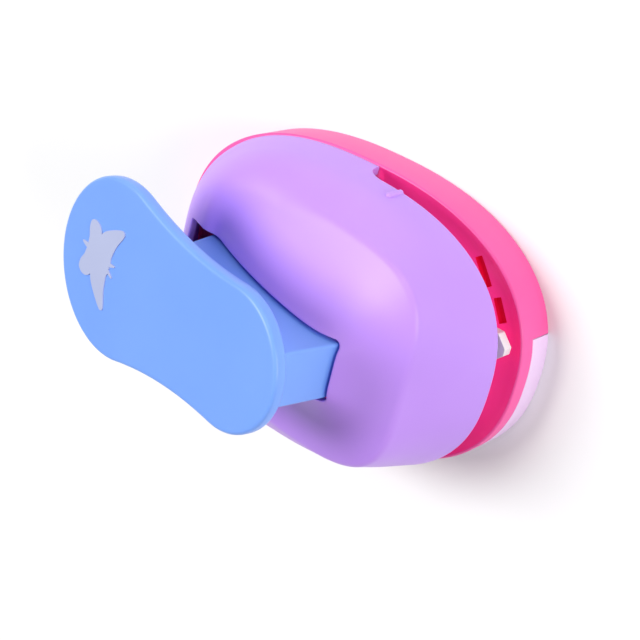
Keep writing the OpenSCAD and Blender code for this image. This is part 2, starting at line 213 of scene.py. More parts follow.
# Lever. Paddle, stem and mark are measured along the paddle and square to it, the rest along X and Z
TILT = math.radians(9.9)
PADDLE_TOP = 44.8
PADDLE_T = 2.5
PADDLE_LOW = PADDLE_TOP - PADDLE_T
PADDLE_LOW_R = 0.8
PADDLE_TOP_R = 0.75
PADDLE_LOW_IN = 1.6
PADDLE_TOP_IN = (1.4, 3)
REAR_LOBE = (-16.9, 16)
FRONT_LOBE = (14.7, 12.4)
FLANK_R = 75
STEM_W = 10
STEM_EDGE = 0.7
STEM_SINK = 1
STEM_FRONT = 23.9
STEM_FRONT_LOW = 28.3
STEM_REAR = -11.2
STEM_REAR_LOW = (-17, 24.3)
ARM_KNEE = (24.2, 26.2)
ARM_UNDER = ((22.2, 18), (22, 23.6), (PUNCH_X, 24.2), (-1, 24.4), (-20.3, 20.2))
ARM_ON_BOSS = (50, 215)
BOSS_R = 3.2
BOSS_EDGE = 0.3
BORE_R = 1.55
NOSE_Z = 25.2
NOSE_R = 3
NOSE_EDGE = 0.4
NOSE_IN = 1
DRUM_STEPS = 64
MARK_AT = (-21.2, 0.4)
MARK_TURN = math.radians(-9.6)
MARK_T = 0.2
MARK_SINK = 0.1

# Return spring
WIRE_R = 0.4
WIRE_SIDES = 12
WIRE_STEPS = 48
SPRING_TURNS = 3
SPRING_FLAT = 0.5

QUARTER_STEPS = 72


# ---------------------------------------------------------------- meshes

def finish_mesh(piece, smooth):
    """Outward faces, smooth shading and sharp edges only above the angle given in degrees."""
    work = bmesh.new()
    work.from_mesh(piece.data)
    bmesh.ops.recalc_face_normals(work, faces=work.faces)
    for face in work.faces:
        face.smooth = True
    for edge in work.edges:
        if len(edge.link_faces) == 2:
            edge.smooth = edge.calc_face_angle() < math.radians(smooth)
    work.to_mesh(piece.data)
    work.free()


def plain(name, points, faces):
    """Loose mesh object used while building; it is removed once it is joined or cut away."""
    mesh = bpy.data.meshes.new(name)
    mesh.from_pydata([tuple(float(v) for v in point) for point in points], [], faces)
    work = bmesh.new()
    work.from_mesh(mesh)
    bmesh.ops.recalc_face_normals(work, faces=work.faces)
    work.to_mesh(mesh)
    work.free()
    piece = bpy.data.objects.new(name, mesh)
    bpy.context.scene.collection.objects.link(piece)
    return piece


def apply_modifiers(piece):
    """Turns the modifiers of a piece into its mesh."""
    bpy.context.view_layer.update()
    depsgraph = bpy.context.evaluated_depsgraph_get()
    made = bpy.data.meshes.new_from_object(piece.evaluated_get(depsgraph))
    piece.modifiers.clear()
    piece.data = made
    return piece


def combine(target, tools, operation):
    """Joins, cuts or keeps the common part of solids, and removes the tools."""
    for tool in tools:
        modifier = target.modifiers.new("cut", "BOOLEAN")
        modifier.operation = operation
        modifier.solver = "MANIFOLD"
        modifier.object = tool
        apply_modifiers(target)
        bpy.data.objects.remove(tool)
    return target


def block(low, high, turn=0.0):
    """Box between two corners, turned about its own middle."""
    low, high = np.array(low, float), np.array(high, float)
    middle, half = (low + high) / 2, (high - low) / 2
    corners = [middle + half * (sx, sy, sz) for sx in (-1, 1) for sy in (-1, 1) for sz in (-1, 1)]
    faces = [(0, 1, 3, 2), (4, 6, 7, 5), (0, 4, 5, 1), (2, 3, 7, 6), (0, 2, 6, 4), (1, 5, 7, 3)]
    cos, sin = math.cos(turn), math.sin(turn)
    points = []
    for corner in corners:
        x, y = corner[0] - middle[0], corner[1] - middle[1]
        points.append((middle[0] + x * cos - y * sin, middle[1] + x * sin + y * cos, corner[2]))
    return plain("block", points, faces)


def round_edges(piece, width, segments, angle):
    """Rounds the edges that turn by more than the angle given in degrees."""
    modifier = piece.modifiers.new("round", "BEVEL")
    modifier.width = width
    modifier.segments = segments
    modifier.limit_method = "ANGLE"
    modifier.angle_limit = math.radians(angle)
    return apply_modifiers(piece)


def turned(profile, centre, axis="Z", steps=48):
    """Solid of revolution; profile lists (radius, distance along the axis)."""
    points, faces = [], []
    for radius, along in profile:
        for i in range(steps):
            angle = 2 * math.pi * i / steps
            u, v = radius * math.cos(angle), radius * math.sin(angle)
            offset = (u, v, along) if axis == "Z" else (u, along, v)
            points.append(np.array(centre, float) + offset)
    for ring in range(len(profile) - 1):
        for i in range(steps):
            j = (i + 1) % steps
            a, b = ring * steps, (ring + 1) * steps
            faces.append((a + i, a + j, b + j, b + i))
    faces.append(tuple(range(steps)))
    last = (len(profile) - 1) * steps
    faces.append(tuple(last + i for i in reversed(range(steps))))
    return plain("turned", points, faces)


def adopt(piece, name, material, body, replaced=(), smooth=35):
    """Turns a building mesh in millimetres into a finished piece."""
    piece.data.transform(Matrix.Scale(MM, 4))
    piece.name = name
    piece.data.name = name
    finish_mesh(piece, smooth)
    piece.data.materials.clear()
    piece.data.materials.append(material)
    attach(piece, body)
    if replaced:
        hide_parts(*replaced)
    return piece


# ---------------------------------------------------------------- ovals

def quarter(reach, side, power, fractions):
    """Quarter of an oval from its tip to its side, divided along its length."""
    samples = 900
    angle = np.linspace(0, math.pi / 2, samples)
    radius = ((np.cos(angle) / reach) ** power + (np.sin(angle) / side) ** power) ** (-1 / power)
    x, y = radius * np.cos(angle), radius * np.sin(angle)
    length = np.concatenate([[0], np.cumsum(np.hypot(np.diff(x), np.diff(y)))])
    at = np.asarray(fractions) * length[-1]
    return np.interp(at, length, x), np.interp(at, length, y)


def skin_sizes(inset):
    """Rings of one skin of the upper shell: front, rear, half width, power, height, slope along X."""
    return [
        (
            HALF_L - front - in_x * inset, HALF_L - rear - in_x * inset, HALF_W - side - in_y * inset,
            power, height - down * inset, slope,
        )
        for (front, rear, side), power, height, slope, (in_x, in_y, down) in SKIN_RINGS
    ]


def mouth_fractions():
    """Extra columns that follow the rounded rear corner of the mouth."""
    samples, corner_columns = 2000, 13
    fine = np.linspace(0, 1, samples)
    front, _, side, power, _, _ = skin_sizes(0)[0]
    x, _ = quarter(front, side, power, fine)
    swing = np.linspace(0, math.pi / 2, corner_columns)
    wanted = MOUTH_X + MOUTH_R - MOUTH_R * np.sin(swing)
    wanted = np.append(wanted, MOUTH_X - MOUTH_STEP)
    return np.interp(-wanted, -x, fine)


EVEN = np.linspace(0, 1, QUARTER_STEPS + 1)
FRONT_FRACTIONS = np.unique(np.concatenate([EVEN, mouth_fractions()]))
REAR_FRACTIONS = EVEN


def oval(front, rear, side, power, middle=0.0):
    """Plan points of an oval, at columns that all ovals here share."""
    fx, fy = quarter(front, side, power, FRONT_FRACTIONS)
    rx, ry = quarter(rear, side, power, REAR_FRACTIONS)
    x = np.concatenate([fx[:-1], -rx[:0:-1], -rx[:-1], fx[:0:-1]])
    y = np.concatenate([fy[:-1], ry[:0:-1], -ry[:-1], -fy[:0:-1]])
    return np.stack([x + middle, y], 1)


COLUMNS = len(oval(1, 1, 1, 2))


def body_oval(inset):
    """The body's outline in plan, moved in by inset."""
    return oval(HALF_L - inset, HALF_L - inset, HALF_W - inset, OVAL_POWER)


def ring_points(front, rear, side, power, height, slope):
    """Ring of points on an oval whose height changes along X."""
    plan = oval(front, rear, side, power)
    return np.column_stack([plan, height + slope * plan[:, 0]])


def stack_rings(rings):
    """Closed solid through rings of points that all have one column count."""
    count = len(rings[0])
    points = np.concatenate(rings)
    faces = []
    for k in range(len(rings) - 1):
        for i in range(count):
            j = (i + 1) % count
            faces.append((k * count + i, k * count + j, (k + 1) * count + j, (k + 1) * count + i))
    faces.append(tuple(reversed(range(count))))
    last = (len(rings) - 1) * count
    faces.append(tuple(range(last, last + count)))
    return points, faces


def prism(inset, low, high):
    """Upright solid on the body's outline, moved in by inset."""
    plan = body_oval(inset)
    rings = [np.column_stack([plan, np.full(COLUMNS, z)]) for z in (low, high)]
    return plain("prism", *stack_rings(rings))


# ---------------------------------------------------------------- upper shell

def ridge_z(x):
    """Height of the ridge round the slot."""
    t = (x - RIDGE_MID + RIDGE_HALF_L) / (2 * RIDGE_HALF_L)
    return RIDGE_LOW + RIDGE_RISE * t - RIDGE_BEND * t * t


def ridge_ring(inset):
    """Highest ring of one skin of the upper shell."""
    reach = RIDGE_HALF_L - RIDGE_IN_X * inset
    plan = oval(reach, reach, RIDGE_HALF_W, RIDGE_POWER, RIDGE_MID)
    return np.column_stack([plan, ridge_z(plan[:, 0]) - inset * RIDGE_IN_Z])


def mouth_edge(x):
    """Height of the shell's lower edge: the rim at the rear, the mouth's top at the front."""
    into = np.clip(MOUTH_X + MOUTH_R - x, 0, MOUTH_R)
    arch = MOUTH_TOP - MOUTH_R + np.sqrt(MOUTH_R ** 2 - into ** 2)
    return np.where(x < MOUTH_X - MOUTH_STEP / 2, RIM_Z, np.minimum(arch, MOUTH_TOP))


def slot_distance(x, y):
    """Distance in plan from the slot's edge, negative inside it."""
    middle = (SLOT_REAR + SLOT_FRONT) / 2
    radius = np.where(x > middle, SLOT_FRONT_R, SLOT_REAR_R)
    dx = np.abs(x - middle) - ((SLOT_FRONT - SLOT_REAR) / 2 - radius)
    dy = np.abs(y) - (SLOT_HALF_W - radius)
    outside = np.hypot(np.maximum(dx, 0), np.maximum(dy, 0))
    return outside + np.minimum(np.maximum(dx, dy), 0) - radius


def rounded_path(corners, cuts, steps=12):
    """Path through corners, with each inner corner eased from cut before it to cut after it."""
    path = [corners[0]]
    for k in range(1, len(corners) - 1):
        before, here, after = corners[k - 1], corners[k], corners[k + 1]
        back, ahead = before - here, after - here
        back_l, ahead_l = np.linalg.norm(back), np.linalg.norm(ahead)
        cut = min(cuts[k - 1], 0.49 * back_l, 0.49 * ahead_l)
        start = here + back * (cut / max(back_l, 1e-9))
        end = here + ahead * (cut / max(ahead_l, 1e-9))
        for t in np.linspace(0, 1, steps):
            path.append((1 - t) ** 2 * start + 2 * t * (1 - t) * here + t * t * end)
    path.append(corners[-1])
    return np.array(path)


def fine_path(path, step=0.25):
    """The same path with points no further apart than step."""
    out = [path[0]]
    for a, b in zip(path, path[1:]):
        count = max(1, int(math.ceil(np.linalg.norm(b - a) / step)))
        out.extend(a + (b - a) * (i + 1) / count for i in range(count))
    return np.array(out)


def cut_at_slot(path):
    """The path from the rim up to the slot's edge."""
    gap = slot_distance(path[:, 0], path[:, 1])
    k = int(np.argmax(gap < 0))
    share = gap[k - 1] / (gap[k - 1] - gap[k])
    return np.vstack([path[:k], path[k - 1] + share * (path[k] - path[k - 1])])


def even_points(path, start, end, count):
    """Points at equal spacing from start along the path to end before its far end."""
    length = np.concatenate([[0], np.cumsum(np.linalg.norm(np.diff(path, axis=0), axis=1))])
    at = np.linspace(start, length[-1] - end, count)
    return np.stack([np.interp(at, length, path[:, axis]) for axis in range(3)], 1)


def easing(start, corner, end, count):
    """Inner points of the curve that rounds a corner."""
    return [
        (1 - t) ** 2 * start + 2 * t * (1 - t) * corner + t * t * end
        for t in np.linspace(0, 1, count + 2)[1:-1]
    ]


def toward(a, b, distance):
    """Point at a distance from a on the way to b."""
    return a + (b - a) * (distance / max(np.linalg.norm(b - a), 1e-9))


def crease_cut(x):
    """How far the crease is eased: crisp along the sides, soft towards the rear."""
    share = np.clip((CREASE_FROM - x) / CREASE_SPAN, 0, 1)
    return CREASE_SHARP + (CREASE_SOFT - CREASE_SHARP) * share ** CREASE_EASE


def shell_column(rings, column, low_z, soften):
    """One path up a skin, from the lower edge to the slot."""
    corners = [ring[column] for ring in rings]
    # The panel between crease and slot is slightly hollow, so that the crease reads as an edge
    sag = np.array((0, 0, PANEL_SAG))
    corners.insert(4, (corners[3] + corners[4]) / 2 - sag)
    if low_z > corners[0][2]:
        share = (low_z - corners[0][2]) / (corners[1][2] - corners[0][2])
        corners[0] = corners[0] + share * (corners[1] - corners[0])
    if np.linalg.norm(corners[1] - corners[0]) < 0.01:
        corners = corners[1:]
        cuts = soften[1:]
    else:
        cuts = soften
    return cut_at_slot(fine_path(rounded_path(corners, cuts)))


def upper_shell(material):
    """Purple moulding: one closed loop of points per column, up the outer skin and down the inner one."""
    outer_rings = [ring_points(*ring) for ring in skin_sizes(0)] + [ridge_ring(0)]
    inner_rings = [ring_points(*ring) for ring in skin_sizes(SHELL_T)] + [ridge_ring(SHELL_T)]
    lows = mouth_edge(outer_rings[0][:, 0])
    outer_count, inner_count = 84, 22
    outer_ease, inner_ease = 4, 2
    edge_r, slot_r = 0.35, 0.45
    loops = []
    for column in range(COLUMNS):
        x = outer_rings[3][column][0]
        outer = shell_column(outer_rings, column, lows[column], (*OUTER_CUTS, crease_cut(x), PANEL_CUT))
        inner = shell_column(inner_rings, column, lows[column], (*INNER_CUTS, PANEL_CUT))
        skin = even_points(outer, edge_r, slot_r, outer_count)
        hollow = even_points(inner, edge_r / 2, slot_r / 2, inner_count)[::-1]
        top_out, top_in, low_out, low_in = outer[-1], inner[-1], outer[0], inner[0]
        loop = list(skin)
        down = toward(top_out, top_in, slot_r)
        up = toward(top_in, top_out, slot_r / 2)
        loop += easing(skin[-1], top_out, down, outer_ease) + [down, up]
        loop += easing(up, top_in, hollow[0], inner_ease) + list(hollow)
        outward = toward(low_in, low_out, edge_r / 2)
        inward = toward(low_out, low_in, edge_r)
        loop += easing(hollow[-1], low_in, outward, inner_ease) + [outward, inward]
        loop += easing(inward, low_out, skin[0], outer_ease)
        loops.append(np.array(loop))
    count = len(loops[0])
    points = np.concatenate(loops)
    faces = []
    for i in range(COLUMNS):
        j = (i + 1) % COLUMNS
        for k in range(count):
            n = (k + 1) % count
            faces.append((i * count + k, j * count + k, j * count + n, i * count + n))
    adopt(
        plain("shell", points, faces), "upper_shell_moulding", material, "housing", ["upper_shell"],
        50,
    )


def shell_tick(material):
    """Raised tick on the left of the upper shell that shows where the middle of the figure is."""
    low = MOUTH_TOP + TICK_GAP
    end = low + TICK_L - TICK_R
    turns = np.linspace(0, TICK_END_TURN, TICK_END_STEPS)
    profile = [(TICK_R - TICK_EDGE, low), (TICK_R, low + TICK_EDGE)]
    profile += [(TICK_R * math.cos(turn), end + TICK_R * math.sin(turn)) for turn in turns]
    tick = turned(profile, (PUNCH_X, HALF_W - TICK_IN, 0))
    adopt(tick, "shell_tick", material, "housing")


def shell_posts(material):
    """The four screw posts inside the upper shell, moulded with it."""
    for number, (x, y, height) in enumerate(POSTS, 1):
        low = DECK_TOP + POST_GAP
        post = turned([(POST_R, low), (POST_R, low + height)], (x, y, 0))
        bore = turned([(POST_BORE_R, low - OVER), (POST_BORE_R, DECK_TOP + POST_BORE_L)], (x, y, 0))
        combine(post, [bore], "DIFFERENCE")
        adopt(post, f"shell_post_{number}", material, "housing")


# ---------------------------------------------------------------- base and tray

def arc_pairs(centre, radius, start, end, steps):
    """(inset, height) pairs on an arc between two angles in degrees."""
    angles = [math.radians(start + (end - start) * i / steps) for i in range(steps + 1)]
    return [(centre[0] + radius * math.cos(a), centre[1] + radius * math.sin(a)) for a in angles]


def body_rings(pairs):
    """Rings on the body's outline from (inset, height) pairs."""
    return [np.column_stack([body_oval(inset), np.full(COLUMNS, z)]) for inset, z in pairs]


def bar(x, width, low, high):
    """Upright bar across the body, as long as a runner."""
    return block((x - width / 2, -RUNNER_L / 2, low), (x + width / 2, RUNNER_L / 2, high))


def tray_side(clearance):
    """Boxes over the side of the body where the tray carries the outer wall."""
    top = TRAY_H + clearance
    overlap, rear_y = 0.01, -0.5
    first = block((-HALF_L - OVER, -HALF_W - OVER, -OVER), (overlap, rear_y + clearance, top))
    second = block((0, -HALF_W - OVER, -OVER), (HALF_L + OVER, TRAY_FRONT_Y + clearance, top))
    return combine(first, [second], "UNION")


def base_rings():
    """Rings of the base from its foot, up the outside and down to the deck's edge."""
    outside = arc_pairs((FOOT_R, FOOT_R), FOOT_R, 270, 180, 4)
    outside += arc_pairs((BASE_EDGE_R, BASE_H - BASE_EDGE_R), BASE_EDGE_R, 180, 90, 4)
    rings = body_rings(outside)
    # Inside the ridge: a hollow bevel round the mouth, a square seat for the upper shell behind it
    mouth = np.clip((body_oval(0)[:, 0] - MOUTH_X + BEVEL_BEHIND) / BEVEL_BLEND, 0, 1)
    mouth = mouth * mouth * (3 - 2 * mouth)
    drop = BASE_H - DECK_TOP
    for k in range(1, STEP_RINGS + 1):
        t = k / STEP_RINGS
        bevel_d = STEP_FROM + BEVEL_W * t ** BEVEL_SPREAD
        bevel_z = BASE_H - drop * (1 - (1 - t) ** BEVEL_HOLLOW)
        sunk = max(0, 2 * t - 1)
        seat_d = STEP_FROM + SEAT_W * min(1, 2 * t) + SEAT_DRAFT * sunk
        seat_z = BASE_H - drop * sunk
        inset = mouth * bevel_d + (1 - mouth) * seat_d
        height = mouth * bevel_z + (1 - mouth) * seat_z
        rings.append(varied_ring(inset, height))
    return rings


def base_cutters():
    """What is cut out of the base: its hollow, the tray's side, chip hole, screw holes and pockets."""
    tools = [prism(WALL, -OVER, DECK_LOW)]
    tools.append(combine(tray_side(TRAY_GAP), [prism(TRAY_INSET, -2 * OVER, BASE_H)], "DIFFERENCE"))
    (x0, x1), (y0, y1) = CHIP_HOLE
    tools.append(block((x0, y0, DECK_LOW - OVER), (x1, y1, DECK_TOP + OVER)))
    for x, y, _ in POSTS:
        tools.append(turned([(POST_HOLE_R, 0), (POST_HOLE_R, BASE_H)], (x, y, 0)))
    for x, y in DIE_SCREWS:
        tools.append(turned([(DIE_SCREW_HOLE_R, 0), (DIE_SCREW_HOLE_R, BASE_H)], (x, y, 0)))
    for side in (-1, 1):
        for x, y, length, turn in POCKETS:
            tools.append(block(
                (x - length / 2, side * y - POCKET_W / 2, DECK_LOW + POCKET_FLOOR),
                (x + length / 2, side * y + POCKET_W / 2, DECK_TOP + OVER),
                turn=math.radians(side * turn),
            ))
    return tools


def base_shell(material, mouth_shade_glow_material, pocket_shade_glow_material):
    """Pink moulding with the rails under its deck; the mouth and the pockets take copies of the pink with
    painted shade and painted glow.
    """
    into_deck = 0.1
    piece = plain("base", *stack_rings(base_rings()))
    combine(piece, base_cutters(), "DIFFERENCE")
    rails = []
    for x in RUNNER_X:
        for side in (-1, 1):
            rails.append(bar(x + side * RAIL_AT, RAIL_T, RAIL_LOW, DECK_LOW + into_deck))
            rails.append(bar(x + side * RAIL_FOOT_AT, RAIL_FOOT_W, RAIL_LOW, RAIL_FOOT_TOP))
    combine(piece, rails, "UNION")
    adopt(piece, "base_moulding", material, "housing", ["base_shell"], 30)
    piece.data.materials.append(mouth_shade_glow_material)
    piece.data.materials.append(pocket_shade_glow_material)
    below_deck = 0.1
    # Painted shade and glow by position: mouth faces take the deeper pink with painted glow, pocket faces
    # below the deck's top take the deep red painted shade
    for face in piece.data.polygons:
        point = face.center / MM
        if in_painted_mouth(point):
            face.material_index = 2 if point[2] < DECK_TOP - below_deck else 1


def in_painted_mouth(point):
    """Whether a point of the base lies in the paper mouth, inside the ridge and above the deck's underside;
    these faces take the painted shade and glow.
    """
    reach, side = HALF_L - MOUTH_INSIDE, HALF_W - MOUTH_INSIDE
    around = (abs(point[0]) / reach) ** OVAL_POWER + (abs(point[1]) / side) ** OVAL_POWER
    return around < 1 and point[0] > MOUTH_X and point[2] > DECK_LOW + POCKET_FLOOR / 2


def varied_ring(inset, height):
    """Ring whose inset and height change from column to column."""
    deepest = 6
    outer, inner = body_oval(0), body_oval(deepest)
    share = (inset / deepest)[:, None]
    plan = outer + (inner - outer) * share
    return np.column_stack([plan, height])


def chip_tray(material):
    """Pale moulding: floor, the body's outer wall on its side, a lip, two runners and a thumb notch."""
    sink, into_head = 0.5, 0.3
    foot = arc_pairs((FOOT_R, FOOT_R), FOOT_R, 270, 180, 4)
    wall = plain("wall", *stack_rings(body_rings(foot + [(0, TRAY_H - TRAY_EDGE), (TRAY_EDGE, TRAY_H)])))
    combine(wall, [prism(TRAY_WALL, TRAY_FLOOR_T, TRAY_H + OVER)], "DIFFERENCE")
    floor_part = plain("floor", *stack_rings(body_rings(foot + [(0, TRAY_FLOOR_T)])))
    combine(wall, [tray_side(0)], "INTERSECT")
    combine(floor_part, [tray_side(0)], "INTERSECT")
    inner_floor = prism(TRAY_INSET, 0, TRAY_FLOOR_T)
    inside_lip = prism(TRAY_INSET + LIP_W, 0, LIP_TOP + OVER)
    lip = combine(prism(TRAY_INSET, sink, LIP_TOP), [inside_lip, tray_side(0)], "DIFFERENCE")
    gaps = [
        block((x - LIP_GAP / 2, 0, TRAY_FLOOR_T), (x + LIP_GAP / 2, HALF_W, LIP_TOP + OVER)) for x in RUNNER_X
    ]
    combine(lip, gaps, "DIFFERENCE")
    runners = []
    for x in RUNNER_X:
        runners.append(bar(x, RUNNER_T, sink, RUNNER_HEAD[1] - into_head))
        runners.append(bar(x, RUNNER_HEAD_W, *RUNNER_HEAD))
    combine(wall, [floor_part, inner_floor, lip] + runners, "UNION")
    notch = turned([(THUMB_R, -THUMB_L / 2), (THUMB_R, THUMB_L / 2)], (0, 0, 0))
    notch.data.transform(Matrix.Rotation(math.pi / 2, 4, "Y"))
    notch.data.transform(Matrix.Translation((THUMB_X, -HALF_W, 0)))
    combine(wall, [notch], "DIFFERENCE")
    adopt(wall, "chip_tray_moulding", material, "chip_tray", ["chip_tray"], 30)


# ---------------------------------------------------------------- lever

def tilted(along, height):
    """Body-frame side view of a point given along the paddle and square to it."""
    return (
        along * math.cos(TILT) - height * math.sin(TILT),
        along * math.sin(TILT) + height * math.cos(TILT),
    )


def arc(centre, radius, start, end, steps):
    """Points on an arc between two angles, without the last one."""
    return [
        (centre[0] + radius * math.cos(start + (end - start) * i / steps),
         centre[1] + radius * math.sin(start + (end - start) * i / steps))
        for i in range(steps)
    ]


def paddle_outline(inset):
    """Two lobes joined by hollow flanks, moved in by inset; the point count never changes."""
    (rear_x, rear_r), (front_x, front_r) = REAR_LOBE, FRONT_LOBE
    lobe_steps, flank_steps = 40, 30
    span = front_x - rear_x
    rear_d, front_d = rear_r + FLANK_R, front_r + FLANK_R
    flank_x = (span ** 2 + rear_d ** 2 - front_d ** 2) / (2 * span)
    flank_y = math.sqrt(rear_d ** 2 - flank_x ** 2)
    centre = (rear_x + flank_x, flank_y)
    rear_turn = math.atan2(flank_y, flank_x)
    front_turn = math.atan2(flank_y, flank_x - span)
    points = arc((front_x, 0), front_r - inset, 0, front_turn, lobe_steps)
    points += arc(centre, FLANK_R + inset, front_turn - math.pi, rear_turn - math.pi, flank_steps)
    points += arc((rear_x, 0), rear_r - inset, rear_turn, math.pi, lobe_steps)
    mirrored = [(x, -y) for x, y in reversed(points[1:])]
    return points + [(rear_x - rear_r + inset, 0)] + mirrored


def paddle():
    """Tilted plate with rounded edges."""
    pairs = [(PADDLE_LOW_IN, PADDLE_LOW)]
    pairs += arc_pairs((PADDLE_LOW_R, PADDLE_LOW + PADDLE_LOW_R), PADDLE_LOW_R, 270, 180, 4)
    pairs += arc_pairs((PADDLE_TOP_R, PADDLE_TOP - PADDLE_TOP_R), PADDLE_TOP_R, 180, 90, 6)
    pairs += [(inset, PADDLE_TOP) for inset in PADDLE_TOP_IN]
    rings = []
    for inset, height in pairs:
        ring = []
        for along, y in paddle_outline(inset):
            x, z = tilted(along, height)
            ring.append((x, y, z))
        rings.append(np.array(ring))
    return plain("paddle", *stack_rings(rings))


def side_profile(points, half_width, edge):
    """Solid from a side-view outline, spread both ways along Y, with rounded long edges."""
    count = len(points)
    corners = [(x, side * half_width, z) for side in (-1, 1) for x, z in points]
    faces = [(i, (i + 1) % count, count + (i + 1) % count, count + i) for i in range(count)]
    faces += [tuple(reversed(range(count))), tuple(range(count, 2 * count))]
    piece = plain("side", corners, faces)
    return round_edges(piece, edge, segments=4, angle=25)


def on_boss(degrees):
    """Point on the boss in side view."""
    angle = math.radians(degrees)
    return (PIVOT[0] + BOSS_R * math.cos(angle), PIVOT[1] + BOSS_R * math.sin(angle))


def drum(radius, half_w, edge, at):
    """Round solid across the lever with chamfered ends; at is its middle in side view."""
    low_end = [(radius - edge, -half_w), (radius, edge - half_w)]
    high_end = [(radius, half_w - edge), (radius - edge, half_w)]
    return turned(low_end + high_end, (at[0], 0, at[1]), "Y", DRUM_STEPS)


def lever(material):
    """Blue moulding: paddle, stem with the inner arm, boss with its bore, and nose."""
    half = STEM_W / 2
    in_paddle = PADDLE_LOW + STEM_SINK
    stem = side_profile(
        [
            tilted(STEM_FRONT, in_paddle), tilted(STEM_FRONT, STEM_FRONT_LOW), ARM_KNEE,
            on_boss(ARM_ON_BOSS[0]), tuple(PIVOT), on_boss(ARM_ON_BOSS[1]), *ARM_UNDER,
            tilted(*STEM_REAR_LOW), tilted(STEM_REAR, in_paddle),
        ],
        half, STEM_EDGE,
    )
    boss = drum(BOSS_R, half, BOSS_EDGE, PIVOT)
    nose = drum(NOSE_R, half - NOSE_IN, NOSE_EDGE, (PUNCH_X, NOSE_Z))
    bore = turned([(BORE_R, -half - OVER), (BORE_R, half + OVER)], (PIVOT[0], 0, PIVOT[1]), "Y", DRUM_STEPS)
    piece = combine(paddle(), [stem, boss, nose], "UNION")
    combine(piece, [bore], "DIFFERENCE")
    adopt(piece, "lever_moulding", material, "lever", ["lever"], 30)


def smooth_outline(points, steps=8):
    """Smooth closed outline through points, as a Catmull-Rom curve."""
    out = []
    count = len(points)
    for i in range(count):
        p = [np.array(points[(i + k) % count], float) for k in (-1, 0, 1, 2)]
        for step in range(steps):
            t = step / steps
            out.append(0.5 * (
                2 * p[1] + (p[2] - p[0]) * t + (2 * p[0] - 5 * p[1] + 4 * p[2] - p[3]) * t * t
                + (3 * p[1] - p[0] - 3 * p[2] + p[3]) * t ** 3
            ))
    return out


def flat_solid(outline, low, high):
    """Thin plate on the paddle from a closed outline in paddle coordinates."""
    rings = []
    cos, sin = math.cos(MARK_TURN), math.sin(MARK_TURN)
    for height in (low, high):
        ring = []
        for at in outline:
            x, z = tilted(MARK_AT[0] + at[0] * cos - at[1] * sin, height)
            ring.append((x, MARK_AT[1] + at[0] * sin + at[1] * cos, z))
        rings.append(np.array(ring))
    return plain("plate", *stack_rings(rings))


def return_spring(material):
    """Coil of round wire with flat end turns."""
    low, high = box_mm("return_spring")
    coil_r = (high[0] - low[0]) / 2 - WIRE_R
    rise = high[2] - low[2] - 2 * WIRE_R
    rings = []
    for i in range(SPRING_TURNS * WIRE_STEPS + 1):
        turns = i / WIRE_STEPS
        climb = min(max((turns - SPRING_FLAT) / (SPRING_TURNS - 2 * SPRING_FLAT), 0), 1)
        angle = 2 * math.pi * turns
        middle = np.array((PUNCH_X, 0, low[2] + WIRE_R + rise * climb))
        outward = np.array((math.cos(angle), math.sin(angle), 0))
        ring = []
        for side in range(WIRE_SIDES):
            around = 2 * math.pi * side / WIRE_SIDES
            lift = np.array((0, 0, WIRE_R * math.sin(around)))
            ring.append(middle + outward * (coil_r + WIRE_R * math.cos(around)) + lift)
        rings.append(np.array(ring))
    coil = adopt(
        plain("coil", *stack_rings(rings)), "return_spring_wire", material, "housing", ["return_spring"]
    )
    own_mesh(coil)


# Generic butterfly, half of it, head towards the front
FORE_WING = [
    (3.0, 0.3), (3.0, 2.0), (3.5, 4.6), (4.6, 7.3), (4.2, 8.1), (3.2, 7.8), (1.2, 6.5), (-0.6, 4.9),
    (-1.4, 3.0), (-1.4, 0.3),
]
HIND_WING = [
    (-0.8, 0.3), (-0.9, 3.4), (-1.9, 5.0), (-3.4, 5.4), (-4.6, 4.8), (-4.7, 3.4), (-4.1, 1.9), (-3.6, 0.3),
]
FEELER = [(2.9, 0.2), (4.2, 0.8), (4.5, 1.15), (4.2, 1.25), (2.9, 0.9)]
BODY_MIDDLE = -1.1
BODY_HALF_L = 4.4
BODY_HALF_W = 0.62
BODY_STEPS = 40


def mark(material):
    """Printed butterfly: a body, and two wings and a feeler on each side."""
    low, high = PADDLE_TOP - MARK_SINK, PADDLE_TOP + MARK_T
    parts = []
    for side in (-1, 1):
        for outline in (FORE_WING, HIND_WING, FEELER):
            flipped = [(x, side * y) for x, y in outline]
            if side < 0:
                flipped.reverse()
            parts.append(flat_solid(smooth_outline(flipped), low, high))
    ring = [
        np.array((BODY_MIDDLE + BODY_HALF_L * math.cos(a), BODY_HALF_W * math.sin(a)))
        for a in np.linspace(0, 2 * math.pi, BODY_STEPS, endpoint=False)
    ]
    parts.append(flat_solid(ring, low, high))
    piece = combine(parts[0], parts[1:], "UNION")
    adopt(piece, "lever_mark_print", material, "lever", ["lever_mark"], 30)


# ---------------------------------------------------------------- materials

def linear(r, g, b):
    """Linear colour from eight-bit screen values."""
    out = []
    for value in (r, g, b):
        share = value / 255
        out.append(share / 12.92 if share <= 0.04045 else ((share + 0.055) / 1.055) ** 2.4)
    return (*out, 1)


# Plastic: flow clouds in the colour, eroded grain, shine that varies with the clouds, light spread inside
CLOUD_SCALE = 45
CLOUD_DETAIL = 3
CLOUD_BAND = (0.3, 0.7)
GRAIN_SCALE = 5200
GRAIN_DETAIL = 2
GRAIN_STRENGTH = 0.22
GRAIN_DEPTH = 0.02
PLASTIC_SHINE = (-0.05, 0.06)
PLASTIC_SPECULAR = 0.45
GLOW = 0.08
SPREAD = (1.6, 0.8, 1.4)

# Steel: brushing in the colour and the surface, shine that varies with it
BRUSH_SCALE = 400
BRUSH_STRETCH = (1, 60, 60)
BRUSH_DETAIL = 4
BRUSH_DARK = 0.82
BRUSH_STRENGTH = 0.1
BRUSH_DEPTH = 0.01
STEEL_SHINE = (-0.06, 0.1)


